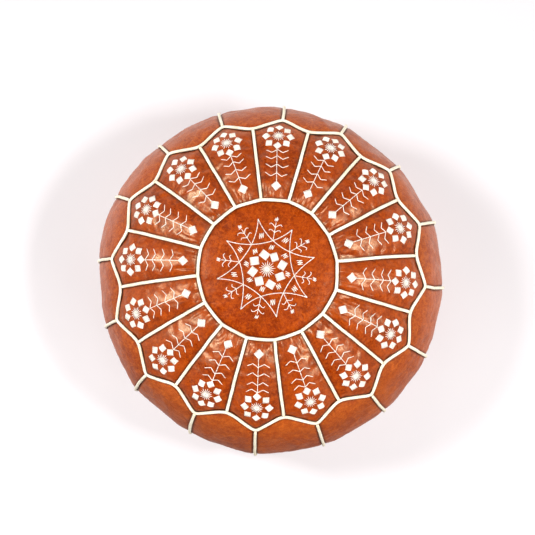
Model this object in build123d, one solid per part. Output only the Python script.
from build123d import *
import os
from bisect import bisect_right
from math import sin, cos, radians, degrees, hypot, atan2, pi

# Stuffed leather floor pouf: a round drum with a domed top.
# Frame: +Z up, origin on the floor at the centre of the base, front towards -Y, zip along X, millimetres.
# Top: a round medallion panel, 16 petal panels and a scalloped seam. Side: 16 panels, each between
# two petal peaks. Base: two half panels either side of a zip that sits in a shallow groove, clear of
# the floor. Every panel seam above the base groove carries a corded welt. Inside are a cotton lining
# bag and the stuffing.

# ---------------------------------------------------------------- driving dimensions
BODY_R = 260.0          # greatest radius of the leather
BODY_H = 320.0          # height of the crown above the floor
LEATHER_T = 1.8         # leather and its turned-in backing
WELT_R = 2.3            # radius of the corded welt
WELT_RISE = 0.5         # height of the welt's centre above the leather's outer face
SEAM_HALF = 2.9         # half the width of the slot each welt fills
MEDALLION_R = 100.0     # seam circle of the top medallion
BASE_WELT_R = 205.0     # seam circle of the base
BASE_WELT_Z = 12.2
BASE_FLAT_R = 182.0     # radius of the flat part of the base
LINING_GAP = 0.5
LINING_T = 0.8
STUFFING_GAP = 0.5
ZIP_Z = 10.0            # height of the zip tape's middle plane
TAPE_T = 0.6
SLOT_HALF = 6.2         # half width of the opening between the base panels' lips
LIP_FLAT = 8.0          # distance from the centre line where the lip starts to slope down
LIP_FOOT = 27.0         # distance where the slope reaches the floor plane
LIP_Z = ZIP_Z - TAPE_T / 2 - 0.15 - LEATHER_T   # outer face of the lips
PETALS = 16
ABOVE = 330             # height above the whole pouf, where cutting prisms end
UPRIGHT = (Align.CENTER, Align.CENTER, Align.MIN)

# Seam tables, clockwise seen from above. The panels are cut and sewn by hand, so no two are quite alike.
# Scallop peaks: (radius, angle in degrees)
PEAKS = [
    (218.93, 84.26), (225.64, 62.39), (232.39, 40.26), (227.19, 17.50),
    (223.73, -5.26), (225.44, -27.89), (227.83, -50.01), (225.06, -72.37),
    (225.37, -94.94), (227.79, -118.27), (229.75, -140.21), (229.06, -162.90),
    (225.04, -185.02), (226.51, -207.75), (224.52, -230.01), (220.77, -252.52),
]
# Scallop valleys, each after the peak of the same number: (radius, angle in degrees)
VALLEYS = [
    (205.15, 73.76), (207.30, 51.48), (209.98, 28.14), (211.44, 5.78),
    (207.49, -16.15), (206.11, -38.87), (204.90, -61.18), (207.10, -84.00),
    (206.93, -106.47), (205.12, -128.86), (209.29, -151.87), (210.69, -174.35),
    (207.93, -195.86), (203.87, -219.16), (203.23, -241.52), (204.11, -264.32),
]
# Angle where each radial seam meets the medallion
NODES = [
    72.33, 52.00, 28.63, 6.00, -17.30, -39.52, -61.62, -84.73,
    -107.56, -129.92, -151.62, -174.15, -197.60, -220.15, -242.24, -264.39,
]
# Centres of each petal's flower and small square: (flower out, flower across, square out, square across).
# "Out" runs along the leather from the medallion seam, "across" is counter-clockwise seen from above.
MOTIFS = [
    (94.8, 3.3, 16.4, 0.1), (98.5, 1.8, 16.4, -0.4), (101.0, 0.7, 17.4, -1.2), (97.8, 0.7, 16.5, -0.2),
    (96.8, 0.5, 16.9, -1.7), (96.5, 1.2, 19.2, -0.2), (96.3, 0.4, 17.3, -1.1), (97.3, 1.2, 17.5, -0.6),
    (98.5, 0.6, 19.2, -0.1), (99.8, 3.5, 18.9, 0.9), (99.1, 1.1, 19.6, -0.6), (99.2, 2.7, 19.3, -0.5),
    (98.2, 1.8, 18.1, -0.8), (97.2, 4.0, 17.2, 1.6), (92.4, 2.7, 14.8, 0.6), (93.4, 3.3, 15.8, 1.1),
]

# ---------------------------------------------------------------- body profile
# (radius, height) from the crown down to the flat of the base
PROFILE = [
    (0, BODY_H), (50, BODY_H - 0.8), (97, BODY_H - 3.5), (150, 306.5), (185, 293.0), (206, 280.5),
    (226, 262.0), (243, 232.0), (256, 192.0), (BODY_R, 155.0), (256, 112.0), (243, 66.0),
    (224, 32.0), (BASE_WELT_R, BASE_WELT_Z), (195, 4.6), (BASE_FLAT_R, 0),
]
END_TANGENTS = [Vector(1, 0, 0), Vector(-1, 0, 0)]
profile_edge = Spline(*[Vector(x, 0, z) for x, z in PROFILE], tangents=END_TANGENTS)

SAMPLES = 60
UPPER_END = 34          # last station of the upper shell
SIDE_START = 14         # first station of the side shell
STATIONS = []           # (radius, height, outward normal's radial part, its z part)
for k in range(SAMPLES + 1):
    point, tangent = profile_edge @ (k / SAMPLES), profile_edge % (k / SAMPLES)
    STATIONS.append((point.X, point.Z, -tangent.Z, tangent.X))

# Fine samples of the upper surface, from the crown to the widest point
FINE = 1200
fine_points = [profile_edge @ (k / FINE) for k in range(FINE + 1)]
widest = max(range(FINE + 1), key=lambda k: fine_points[k].X)
TOP_R = [point.X for point in fine_points[:widest + 1]]
TOP_Z = [point.Z for point in fine_points[:widest + 1]]
TOP_ARC = [0.0]         # length along the leather from the crown
for k in range(widest):
    TOP_ARC.append(TOP_ARC[-1] + hypot(TOP_R[k + 1] - TOP_R[k], TOP_Z[k + 1] - TOP_Z[k]))


def interpolate(value, inputs, outputs):
    if value <= inputs[0]:
        return outputs[0]
    if value >= inputs[-1]:
        return outputs[-1]
    k = bisect_right(inputs, value) - 1
    share = (value - inputs[k]) / (inputs[k + 1] - inputs[k])
    return outputs[k] + share * (outputs[k + 1] - outputs[k])


def top_height(radius):
    return interpolate(radius, TOP_R, TOP_Z)


def top_normal(radius):
    # outward normal of the upper surface as (radial part, z part)
    outer, inner = min(radius + 0.5, BODY_R - 0.01), max(radius - 0.5, 0)
    rise, run = top_height(outer) - top_height(inner), outer - inner
    length = hypot(rise, run)
    return -rise / length, run / length


def on_top(radius, angle, lift):
    # point on the upper surface, raised along the normal
    normal_r, normal_z = top_normal(radius)
    x, y = polar(radius + normal_r * lift, angle)
    return Vector(x, y, top_height(radius) + normal_z * lift)


# ---------------------------------------------------------------- plan geometry
def polar(radius, angle):
    return radius * cos(radians(angle)), radius * sin(radians(angle))


def between(start, end, share):
    return start[0] + (end[0] - start[0]) * share, start[1] + (end[1] - start[1]) * share


def unit(start, end):
    dx, dy = end[0] - start[0], end[1] - start[1]
    return dx / hypot(dx, dy), dy / hypot(dx, dy)


def shift_left(start, end, distance):
    # the line moved to its left
    dx, dy = unit(start, end)
    return tuple((x - dy * distance, y + dx * distance) for x, y in (start, end))


def mitre(near, limit):
    # sideways step to the left at a bend, for an offset of 1; near holds the bend and its neighbours
    steps = [unit(start, end) for start, end in zip(near, near[1:])]
    left_x, left_y = -sum(dy for dx, dy in steps), sum(dx for dx, dy in steps)
    length = hypot(left_x, left_y)
    left_x, left_y = left_x / length, left_y / length
    cosine = max(left_y * steps[0][0] - left_x * steps[0][1], limit)
    return left_x / cosine, left_y / cosine


def offset_closed(points, distance):
    # a closed clockwise polygon moved outwards
    moved = []
    for k, (x, y) in enumerate(points):
        step_x, step_y = mitre([points[k - 1], (x, y), points[(k + 1) % len(points)]], 0.5)
        moved.append((x + step_x * distance, y + step_y * distance))
    return moved


def thick_line(points, width):
    # outline of a bent line with mitred bends
    left, right = [], []
    for k, (x, y) in enumerate(points):
        step_x, step_y = mitre(points[max(k - 1, 0):k + 2], 0.4)
        left.append((x + step_x * width / 2, y + step_y * width / 2))
        right.append((x - step_x * width / 2, y - step_y * width / 2))
    return left + right[::-1]


def diamond(x, y, half, turn=0.0):
    corners = [polar(half, turn + 90 * k) for k in range(4)]
    return [(x + dx, y + dy) for dx, dy in corners]


def burst(x, y, outer_r, inner_r, rays=12):
    corners = [polar(inner_r if k % 2 else outer_r, 180 * k / rays) for k in range(2 * rays)]
    return [(x + dx, y + dy) for dx, dy in corners]


# ---------------------------------------------------------------- shells and cutters
def prism(outline, bottom, top):
    face = make_face(Polyline(*[Vector(x, y, bottom) for x, y in outline], close=True))
    return extrude(face, amount=top - bottom, dir=(0, 0, 1))


def offset_line(depth):
    # the stations moved inwards
    return [
        Vector(max(radius - normal_r * depth, 0.0), 0, z - normal_z * depth)
        for radius, z, normal_r, normal_z in STATIONS
    ]


def body_solid(depth):
    # the whole drum, its faces moved inwards
    line = offset_line(depth)
    line[0] = Vector(0, 0, BODY_H - depth)
    line[-1] = Vector(BASE_FLAT_R, 0, depth)
    skin = Spline(*line, tangents=END_TANGENTS)
    foot = Line(skin @ 1, Vector(0, 0, depth))
    axis = Line(Vector(0, 0, depth), skin @ 0)
    return revolve(Face(Wire([skin, foot, axis])), Axis.Z, 360)


def revolved_band(outer_points, inner_points):
    outer, inner = Spline(*outer_points), Spline(*inner_points)
    outline = [outer, Line(outer @ 1, inner @ 1), inner, Line(inner @ 0, outer @ 0)]
    return revolve(Face(Wire(outline)), Axis.Z, 360)


def upper_shell(outer_depth, inner_depth):
    lines = []
    for depth in (outer_depth, inner_depth):
        lines.append([Vector(0, 0, BODY_H - depth)] + offset_line(depth)[1:UPPER_END + 1])
    return revolved_band(*lines)


def groove(top_z, top_half, foot, foot_z):
    # prism along X: the space taken out of the drum's underside beneath the zip
    low_z = -20
    outline = [(-foot, foot_z), (-top_half, top_z), (top_half, top_z),
               (foot, foot_z), (foot, low_z), (-foot, low_z)]
    return extrude(Plane.YZ * make_face(Polyline(*outline, close=True)), 300, both=True)


# ---------------------------------------------------------------- scallop seam
STEPS = 6               # points from a peak to a valley


def scallop_shape(share):
    # about 0 at a valley, 1 at a peak: round in the valley, sharper at the peak, its tip eased
    soft = 0.30
    rise = ((share * share + soft * soft) ** 0.5 - soft) / ((1 + soft * soft) ** 0.5 - soft)
    if share > 0.88:
        rise -= 0.018 * ((share - 0.88) / 0.12) ** 2
    return rise


def next_peak(i):
    # (radius, angle) of the peak clockwise of peak i, its angle running on past a full turn
    radius, angle = PEAKS[(i + 1) % PETALS]
    return radius, angle - (360 if i == PETALS - 1 else 0)


def scallop_points():
    # (radius, angle) round the whole seam, clockwise, starting at peak 0
    points = []
    for i in range(PETALS):
        valley_r, valley_angle = VALLEYS[i]
        peak_r, peak_angle = PEAKS[i]
        following_r, following_angle = next_peak(i)
        for k in range(STEPS):
            radius = valley_r + (peak_r - valley_r) * scallop_shape(1 - k / STEPS)
            points.append((radius, peak_angle + (valley_angle - peak_angle) * k / STEPS))
        for k in range(STEPS):
            radius = valley_r + (following_r - valley_r) * scallop_shape(k / STEPS)
            points.append((radius, valley_angle + (following_angle - valley_angle) * k / STEPS))
    return points


SCALLOP = scallop_points()
SCALLOP_XY = [polar(radius, angle) for radius, angle in SCALLOP]
SCALLOP_OUT = offset_closed(SCALLOP_XY, SEAM_HALF)
SCALLOP_IN = offset_closed(SCALLOP_XY, -SEAM_HALF)

# ---------------------------------------------------------------- top medallion and petal panels
SEAM_OVERRUN = 12       # how far a petal seam's line runs past its valley
PETAL_INNER_R = MEDALLION_R + SEAM_HALF
leather_top = upper_shell(0, LEATHER_T)


def top_medallion():
    return leather_top & Pos(0, 0, 250) * Cylinder(MEDALLION_R - SEAM_HALF, 100, align=UPRIGHT)


def seam_line(i):
    # straight plan line of petal seam i, from the medallion seam to just past valley i
    start, valley = polar(MEDALLION_R, NODES[i]), polar(*VALLEYS[i])
    length = hypot(valley[0] - start[0], valley[1] - start[1])
    return start, between(start, valley, 1 + SEAM_OVERRUN / length)


def crossings(start, end, chain):
    # (chain segment, point) wherever the line, run on by 30 %, meets the chain
    hits = []
    dx, dy = end[0] - start[0], end[1] - start[1]
    for k, ((x0, y0), (x1, y1)) in enumerate(zip(chain, chain[1:])):
        cross = dx * (y1 - y0) - dy * (x1 - x0)
        if abs(cross) < 1e-12:
            continue
        on_line = ((x0 - start[0]) * (y1 - y0) - (y0 - start[1]) * (x1 - x0)) / cross
        on_chain = ((x0 - start[0]) * dy - (y0 - start[1]) * dx) / cross
        if 0 <= on_chain <= 1 and 0 < on_line < 1.3:
            hits.append((k, between(start, end, on_line)))
    return hits


def on_inner_circle(start, end):
    # where the line leaves the petals' inner circle
    dx, dy = end[0] - start[0], end[1] - start[1]
    square = dx * dx + dy * dy
    linear = 2 * (start[0] * dx + start[1] * dy)
    constant = start[0] ** 2 + start[1] ** 2 - PETAL_INNER_R ** 2
    share = (-linear + (linear * linear - 4 * square * constant) ** 0.5) / (2 * square)
    return between(start, end, share)


def petal_prism(i):
    # petal i has peak i; seen from above, seam i-1 is on its counter-clockwise side and seam i clockwise
    side_a = shift_left(*seam_line(i - 1), -SEAM_HALF)
    side_b = shift_left(*seam_line(i), SEAM_HALF)
    middle = 2 * STEPS * i
    chain = [SCALLOP_IN[(middle + k) % len(SCALLOP_IN)] for k in range(-STEPS - 2, STEPS + 3)]
    first, corner_a = crossings(*side_a, chain)[0]
    last, corner_b = crossings(*side_b, chain)[-1]
    outer = [corner_a] + chain[first + 1:last + 1] + [corner_b]
    inner_a, inner_b = on_inner_circle(*side_a), on_inner_circle(*side_b)

    angle_a, angle_b = atan2(inner_a[1], inner_a[0]), atan2(inner_b[1], inner_b[0])
    mid_angle = (angle_a + angle_b) / 2 + (0 if abs(angle_a - angle_b) < pi else pi)
    arc_middle = polar(PETAL_INNER_R, degrees(mid_angle))

    def at_bottom(point):
        return Vector(point[0], point[1], 215)

    lines = [
        Line(at_bottom(inner_a), at_bottom(corner_a)),
        Polyline(*[at_bottom(point) for point in outer]),
        Line(at_bottom(corner_b), at_bottom(inner_b)),
        ThreePointArc(at_bottom(inner_b), at_bottom(arc_middle), at_bottom(inner_a)),
    ]
    face = make_face([edge for line in lines for edge in line.edges()])
    return extrude(face, amount=120, dir=(0, 0, 1))


def petal_panel(i):
    return leather_top & petal_prism(i)


# ---------------------------------------------------------------- side panels
SCALLOP_CUT_Z = 155.0   # the scallop is cut from this height upwards
BELOW = 50              # depth under the floor where the base cutter starts


def side_band():
    # leather from the scallop down to the base welt
    band = revolved_band(offset_line(0)[SIDE_START:], offset_line(LEATHER_T)[SIDE_START:])
    band -= Pos(0, 0, -BELOW) * Cylinder(300, BELOW + BASE_WELT_Z + SEAM_HALF, align=UPRIGHT)
    return band - prism(SCALLOP_OUT, SCALLOP_CUT_Z, ABOVE)


leather_side = side_band()


def side_wedge(i, clearance):
    # between peak i and the next, clear of both peaks' radial planes
    start_angle, end_angle = PEAKS[i][1], next_peak(i)[1]
    half, middle = (start_angle - end_angle) / 2, (start_angle + end_angle) / 2
    tip = polar(clearance / sin(radians(half)), middle)
    start_corner = shift_left((0, 0), polar(400, start_angle), -clearance)[1]
    end_corner = shift_left((0, 0), polar(400, end_angle), clearance)[1]
    return prism([tip, start_corner, polar(480, middle), end_corner], -5, ABOVE)


def side_panel(i):
    return leather_side & side_wedge(i, SEAM_HALF)


# ---------------------------------------------------------------- base panels
LIP_SHIFT = 0.6         # how much wider the groove is on the leather's inner face


def base_panel(side):
    # side: -1 front, 1 rear
    outer = body_solid(0) - groove(LIP_Z, LIP_FLAT, LIP_FOOT, 0)
    inner = body_solid(LEATHER_T) - groove(
        LIP_Z + LEATHER_T, LIP_FLAT + LIP_SHIFT, LIP_FOOT + LIP_SHIFT, LEATHER_T)
    slab = Pos(0, 0, -1) * Cylinder(BASE_WELT_R - SEAM_HALF, 25, align=UPRIGHT)
    half_space = Pos(0, side * (SLOT_HALF + 150), 10) * Box(600, 300, 40)
    return (outer & slab & half_space) - inner


# ---------------------------------------------------------------- welts
BASE_WELT_SHIFT = 0.35  # the base welt's centre moves this far out and down
MITRE_GAP = 0.2         # clearance of each scallop cord from the mitre plane
CORD_OVERRUN = 4.0      # extra cord at each end, trimmed at the mitre


def cord(points):
    path = Spline(*points)
    return sweep(Plane(origin=path @ 0, z_dir=path % 0) * Circle(WELT_R), path=path)


def medallion_welt():
    normal_r, normal_z = top_normal(MEDALLION_R)
    z = top_height(MEDALLION_R) + normal_z * WELT_RISE
    return Pos(0, 0, z) * Torus(MEDALLION_R + normal_r * WELT_RISE, WELT_R)


def base_welt():
    return Pos(0, 0, BASE_WELT_Z - BASE_WELT_SHIFT) * Torus(BASE_WELT_R + BASE_WELT_SHIFT, WELT_R)


def beyond(end, previous):
    return end + (end - previous) * (CORD_OVERRUN / (end - previous).length)


def scallop_welt(i):
    # the scallop's cord is laid in lengths from peak to peak, mitred where they meet
    first = 2 * STEPS * i
    run = [SCALLOP[(first + k) % len(SCALLOP)] for k in range(0, 2 * STEPS + 1, 2)]
    points = [on_top(radius, angle, WELT_RISE) for radius, angle in run]
    points = [beyond(points[0], points[1])] + points + [beyond(points[-1], points[-2])]
    return cord(points) & side_wedge(i, MITRE_GAP)


def petal_welt(i):
    # stops short of the medallion welt and of the scallop welt
    start, end = seam_line(i)
    length = hypot(end[0] - start[0], end[1] - start[1])
    first = (2 * WELT_R + 0.3) / length
    last = 1 - (SEAM_OVERRUN + 2 * WELT_R + 1.2) / length
    points = []
    for k in range(7):
        x, y = between(start, end, first + (last - first) * k / 6)
        points.append(on_top(hypot(x, y), degrees(atan2(y, x)), WELT_RISE))
    return cord(points)


def side_welt(i):
    # from below peak i down to just above the base welt
    peak_r, angle = PEAKS[i]
    points = []
    for radius, z, normal_r, normal_z in STATIONS:
        if radius > 200 and BASE_WELT_Z + 5.5 < z < top_height(peak_r) - 6.2:
            x, y = polar(radius + normal_r * WELT_RISE, angle)
            points.append(Vector(x, y, z + normal_z * WELT_RISE))
    return cord(points)


# ---------------------------------------------------------------- embroidery
THREAD_GAP = 0.25       # clearance above the leather
THREAD_T = 0.8
LINE_W = 1.5            # width of a couched thread line
FLOWER_RING = 17.0      # radius of the ring of diamonds round each flower
FLOWER_HALF = 5.9       # half diagonal of a flower's diamond
SQUARE_HALF = 7.2       # half diagonal of the small square
STEM_GAP = 0.6
LEAVES = [0.24, 0.40, 0.56, 0.70]   # leaf pairs, as fractions of the way from square to flower
thread_band = upper_shell(-THREAD_GAP, -THREAD_GAP - THREAD_T)


def stitch(outline):
    return thread_band & prism(outline, 225, ABOVE)


def petal_xy(i, out, across):
    # plan point on petal i, in the coordinates of MOTIFS
    radius = interpolate(out + interpolate(MEDALLION_R, TOP_R, TOP_ARC), TOP_ARC, TOP_R)
    peak_r, peak_angle = PEAKS[i]
    root_angle = (NODES[i - 1] + (360 if i == 0 else 0) + NODES[i]) / 2
    share = (radius - MEDALLION_R) / (peak_r - MEDALLION_R)
    axis_angle = root_angle * (1 - share) + peak_angle * share
    return polar(radius, axis_angle + degrees(across / radius))


def petal_stitch(i, outline):
    return stitch([petal_xy(i, out, across) for out, across in outline])


def petal_flower(i):
    # eight diamonds round a burst
    out, across = MOTIFS[i][:2]
    outlines = []
    for k in range(8):
        step_out, step_across = polar(FLOWER_RING, 45 * k)
        outlines.append(diamond(out + step_out, across + step_across, FLOWER_HALF, 45 * k))
    outlines.append(burst(out, across, 8.6, 4.2))
    return [petal_stitch(i, outline) for outline in outlines]


def petal_square(i):
    return petal_stitch(i, diamond(*MOTIFS[i][2:], SQUARE_HALF))


def petal_stem(i):
    # a line from the square to the flower, with pairs of bent leaves
    flower, square = MOTIFS[i][:2], MOTIFS[i][2:]
    lines = [[(square[0] + SQUARE_HALF + STEM_GAP, square[1]),
              (flower[0] - FLOWER_RING - FLOWER_HALF - STEM_GAP, flower[1])]]
    for share in LEAVES:
        out, across = between(square, flower, share)
        for side in (-1, 1):
            lines.append([(out - 0.4, across + side * 2.2), (out - 4.4, across + side * 10),
                          (out + 0.8, across + side * 15.5)])
    return [petal_stitch(i, thick_line(line, LINE_W)) for line in lines]


# Medallion: an eight-point star of curved lines, twigs between its points, small diamonds, zigzags
# and a central burst
STAR_TURN = 11.3        # angle of the first star point
STAR_R = 69.5
STAR_WAIST_R = 36.5     # radius of the middle of each star line
TWIG_W = 1.2
ZIGZAG_W = 1.1
# (distance out from the centre, distance across)
POINT_ZIGZAG = [(47, -1.6), (52.5, -1.6), (48.5, 1.6), (54, 1.6)]
GAP_ZIGZAG = [(28, -1.6), (33, -1.6), (29.5, 1.6), (34.5, 1.6)]
TWIG = [(43.0, 0), (69.0, 0)]
TWIG_TIP = [(70.0, -1.7), (78.0, -0.8), (78.0, 0.8), (70.0, 1.7)]


def turned(points, angle):
    cosine, sine = polar(1, angle)
    return [(x * cosine - y * sine, x * sine + y * cosine) for x, y in points]


def star_line(k):
    # curved line from star point k to the next but one
    start_angle = STAR_TURN + 45 * k
    arc = ThreePointArc(
        Vector(*polar(STAR_R, start_angle)),
        Vector(*polar(STAR_WAIST_R, start_angle + 45)),
        Vector(*polar(STAR_R, start_angle + 90)))
    points = [arc @ (j / 10) for j in range(11)]
    outline = thick_line([(point.X, point.Y) for point in points], LINE_W)
    return make_face(Polyline(*[Vector(x, y, 0) for x, y in outline], close=True))


def medallion_star():
    star = star_line(0)
    for k in range(1, 8):
        star = star + star_line(k)
    return thread_band & (Pos(0, 0, 290) * extrude(star, amount=40, dir=(0, 0, 1)))


def medallion_embroidery():
    stitches = [medallion_star()]
    for k in range(8):
        point_angle = STAR_TURN + 45 * k
        gap_angle = point_angle + 22.5
        outlines = [
            diamond(*polar(21.5, point_angle), 6.9, point_angle + 45),
            thick_line(turned(POINT_ZIGZAG, point_angle), ZIGZAG_W),
            thick_line(turned(GAP_ZIGZAG, gap_angle), ZIGZAG_W),
            thick_line(turned(TWIG, gap_angle), TWIG_W),
            turned(TWIG_TIP, gap_angle),
        ]
        for root in (54.5, 62.5):
            for side in (-1, 1):
                shoot = [(root, side * 1.1), (root + 1.5, side * 5.5), (root + 5.0, side * 7.6)]
                outlines.append(thick_line(turned(shoot, gap_angle), TWIG_W))
        stitches += [stitch(outline) for outline in outlines]
    stitches.append(stitch(burst(0, 0, 11.0, 5.2)))
    return stitches


# ---------------------------------------------------------------- lining bag and stuffing
MOUTH_L, MOUTH_W = 240.0, 8.0       # opening in the lining above the zip
LINING_DEPTH = LEATHER_T + LINING_GAP
LINING_GROOVE_Z = 13.2              # top of the groove in the lining's outer face


def bag(extra, foot):
    # filled bag, its faces moved inwards by extra from the lining's outer face
    depth = LINING_DEPTH + extra
    return body_solid(depth) - groove(LINING_GROOVE_Z + extra, 17.0, foot, depth)


def lining_bag():
    return bag(0, 42.0) - bag(LINING_T, 42.4) - Pos(0, 0, 14) * Box(MOUTH_L, MOUTH_W, 8)


def stuffing():
    return bag(LINING_T + STUFFING_GAP, 43.0)


# ---------------------------------------------------------------- zip tapes, teeth and stops
ZIP_LEN = 300.0         # length of the toothed chain
TAPE_LEN = ZIP_LEN + 30.0
TAPE_W = 14.0
TAPE_EDGE = 1.6         # distance from the centre line to the tape's edge
TOOTH_PITCH = 3.0
TOOTH_L = 3.0
TOOTH_W = 1.3
TOOTH_T = 2.6
CHAIN_GAP = 0.6         # distance from the centre line to a tooth's tip
HEAD_L = 0.9            # length of a tooth's head, beyond the tape's edge
LEG_T = (TOOTH_T - TAPE_T) / 2 - 0.08   # leaves 0.08 between leg and tape


def zip_tape(side):
    return Pos(0, side * (TAPE_EDGE + TAPE_W / 2), ZIP_Z) * Box(TAPE_LEN, TAPE_W, TAPE_T)


def clip(x, width, head_y, head_length, leg_y, leg_length):
    # a full-height head joined to a leg above and a leg below the tape
    part = Pos(x, head_y, ZIP_Z) * Box(width, head_length, TOOTH_T)
    for up in (1, -1):
        z = ZIP_Z + up * (TOOTH_T / 2 - LEG_T / 2)
        part = part + Pos(x, leg_y, z) * Box(width, leg_length, LEG_T)
    return part


def side_clip(x, side, width, length):
    return clip(x, width, side * (CHAIN_GAP + HEAD_L / 2), HEAD_L,
                side * (CHAIN_GAP + length / 2), length)


def zip_teeth(side):
    # the front row is half a pitch along from the rear row
    start = -ZIP_LEN / 2 + (0 if side > 0 else TOOTH_PITCH / 2)
    return [side_clip(start + TOOTH_PITCH * (k + 0.25), side, TOOTH_W, TOOTH_L)
            for k in range(int(ZIP_LEN / TOOTH_PITCH))]


def zip_top_stops():
    # one on each tape, past the chain's +X end
    return [side_clip(ZIP_LEN / 2 + 3.4, side, 2.4, 3.2) for side in (-1, 1)]


def zip_bottom_stop():
    # one box across both tapes, past the chain's -X end
    return clip(-ZIP_LEN / 2 - 2.6, 3.0, 0, 2.4, 0, 7.0)


# ---------------------------------------------------------------- zip slider and pull
SLIDER_L, SLIDER_W = 13.0, 9.8
PLATE_T = 1.0
SLIDER_X = ZIP_LEN / 2 - 5.0
PLATE_GAP = TOOTH_T / 2 + 0.15      # from the tape's middle plane to each plate
FLANGE_T = 0.8
FLANGE_GAP = 0.5        # from the tape's middle plane to each flange's edge
NECK_HALF = 0.45        # half thickness of the slider's neck
SLIDER_FLOOR = ZIP_Z - PLATE_GAP - PLATE_T
BAIL_R = 0.70           # radius of the bail's eye
PIN_R = 0.62            # radius of the pull's cross bar
PIN_Z = SLIDER_FLOOR - 1.5
PULL_L, PULL_W, PULL_T = 23.6, 7.0, 1.0
FORK_W = 2.6
FORK_BACK = 4.2         # depth of the fork behind the cross bar
FORK_FRONT = 3.0        # run of the fork's cutter past the pull's +X end


def slider_plate(z):
    plate = Pos(SLIDER_X, 0, z) * Box(SLIDER_L, SLIDER_W, PLATE_T)
    return fillet(plate.edges().filter_by(Axis.Z), 2.2)


def cross_rod(radius, length):
    return Pos(SLIDER_X, 0, PIN_Z) * Rot(90, 0, 0) * Cylinder(radius, length)


def zip_slider():
    # two plates with side flanges, a neck at the +X end and a bail underneath
    plate_z = PLATE_GAP + PLATE_T / 2
    body = slider_plate(ZIP_Z + plate_z) + slider_plate(ZIP_Z - plate_z)
    flange_h = PLATE_GAP - FLANGE_GAP
    for side in (-1, 1):
        for up in (1, -1):
            y = side * (SLIDER_W / 2 - FLANGE_T / 2)
            z = ZIP_Z + up * (FLANGE_GAP + flange_h / 2)
            body += Pos(SLIDER_X - 1.2, y, z) * Box(SLIDER_L - 6.5, FLANGE_T, flange_h)
    neck_x = SLIDER_X + SLIDER_L / 2 - 2.4
    body += Pos(neck_x, 0, ZIP_Z) * Box(3.0, 2 * NECK_HALF, 2 * PLATE_GAP)
    bail_h = SLIDER_FLOOR - PIN_Z + BAIL_R + 0.9
    bail = Pos(SLIDER_X, 0, SLIDER_FLOOR - bail_h / 2) * Box(6.2, 1.7, bail_h)
    bail = fillet(bail.edges().filter_by(Axis.Y).group_by(Axis.Z)[0], 1.0)
    return body + (bail - cross_rod(BAIL_R, 6))


def zip_pull():
    # flat tab along -X, with a fork round the bail and a cross bar through the bail's eye
    tab = Pos(SLIDER_X - PULL_L / 2 + 1.0, 0, PIN_Z) * Box(PULL_L, PULL_W, PULL_T)
    tab = fillet(tab.edges().filter_by(Axis.Z).group_by(Axis.X)[0], 3.0)
    tab = fillet(tab.edges().filter_by(Axis.Z).group_by(Axis.X)[-1], 0.8)
    fork_x = SLIDER_X + (FORK_FRONT - FORK_BACK) / 2
    tab -= Pos(fork_x, 0, PIN_Z) * Box(FORK_BACK + FORK_FRONT, FORK_W, 3)
    tab -= Pos(SLIDER_X - 18.0, 0, PIN_Z) * Cylinder(1.5, 3)
    return tab + cross_rod(PIN_R, FORK_W + 1.0)


# ---------------------------------------------------------------- zip end tabs and stitching
TAB_L, TAB_W, TAB_T = 28.5, 15.0, 1.4
STITCHES = 60           # stitches in each row


def zip_end_tabs():
    # leather patches that close the base seam past each end of the zip
    tabs = []
    for side in (-1, 1):
        tab = Pos(side * 182.75, 0, LIP_Z - 0.2 - TAB_T / 2) * Box(TAB_L, TAB_W, TAB_T)
        tabs.append(fillet(tab.edges().filter_by(Axis.Z), 3.0))
    return tabs


def zip_stitching(side):
    # a row of short raised stitches along one lip
    row_length = TAPE_LEN - 16
    y, z = side * (SLOT_HALF + 1.0), LIP_Z - 0.35
    return [Pos(row_length * ((k + 0.5) / STITCHES - 0.5), y, z) * Box(3.4, 0.5, 0.4)
            for k in range(STITCHES)]


# ---------------------------------------------------------------- export
os.makedirs("parts", exist_ok=True)


def save(name, *shapes):
    solids = [solid for shape in shapes for solid in shape.solids()]
    piece = solids[0] if len(solids) == 1 else Compound(children=solids)
    export_step(piece, f"parts/{name}.step")


save("top_medallion", top_medallion())
for i in range(PETALS):
    save(f"petal_panel_{i + 1:02d}", petal_panel(i))
    save(f"side_panel_{i + 1:02d}", side_panel(i))
save("medallion_welt", medallion_welt())
save("petal_welts", *[petal_welt(i) for i in range(PETALS)])
save("scallop_welt", *[scallop_welt(i) for i in range(PETALS)])
save("side_welts", *[side_welt(i) for i in range(PETALS)])
save("base_welt", base_welt())
save("medallion_embroidery", *medallion_embroidery())
save("petal_flowers", *[part for i in range(PETALS) for part in petal_flower(i)])
save("petal_stems", *[part for i in range(PETALS) for part in petal_stem(i)])
save("petal_squares", *[petal_square(i) for i in range(PETALS)])
save("lining_bag", lining_bag())
save("stuffing", stuffing())
for place, side in (("front", -1), ("rear", 1)):
    save(f"base_panel_{place}", base_panel(side))
    save(f"zip_tape_{place}", zip_tape(side))
    save(f"zip_teeth_{place}", *zip_teeth(side))
save("zip_slider", zip_slider())
save("zip_pull", zip_pull())
save("zip_top_stops", *zip_top_stops())
save("zip_bottom_stop", zip_bottom_stop())
save("zip_end_tabs", *zip_end_tabs())
save("zip_stitching", *zip_stitching(-1), *zip_stitching(1))
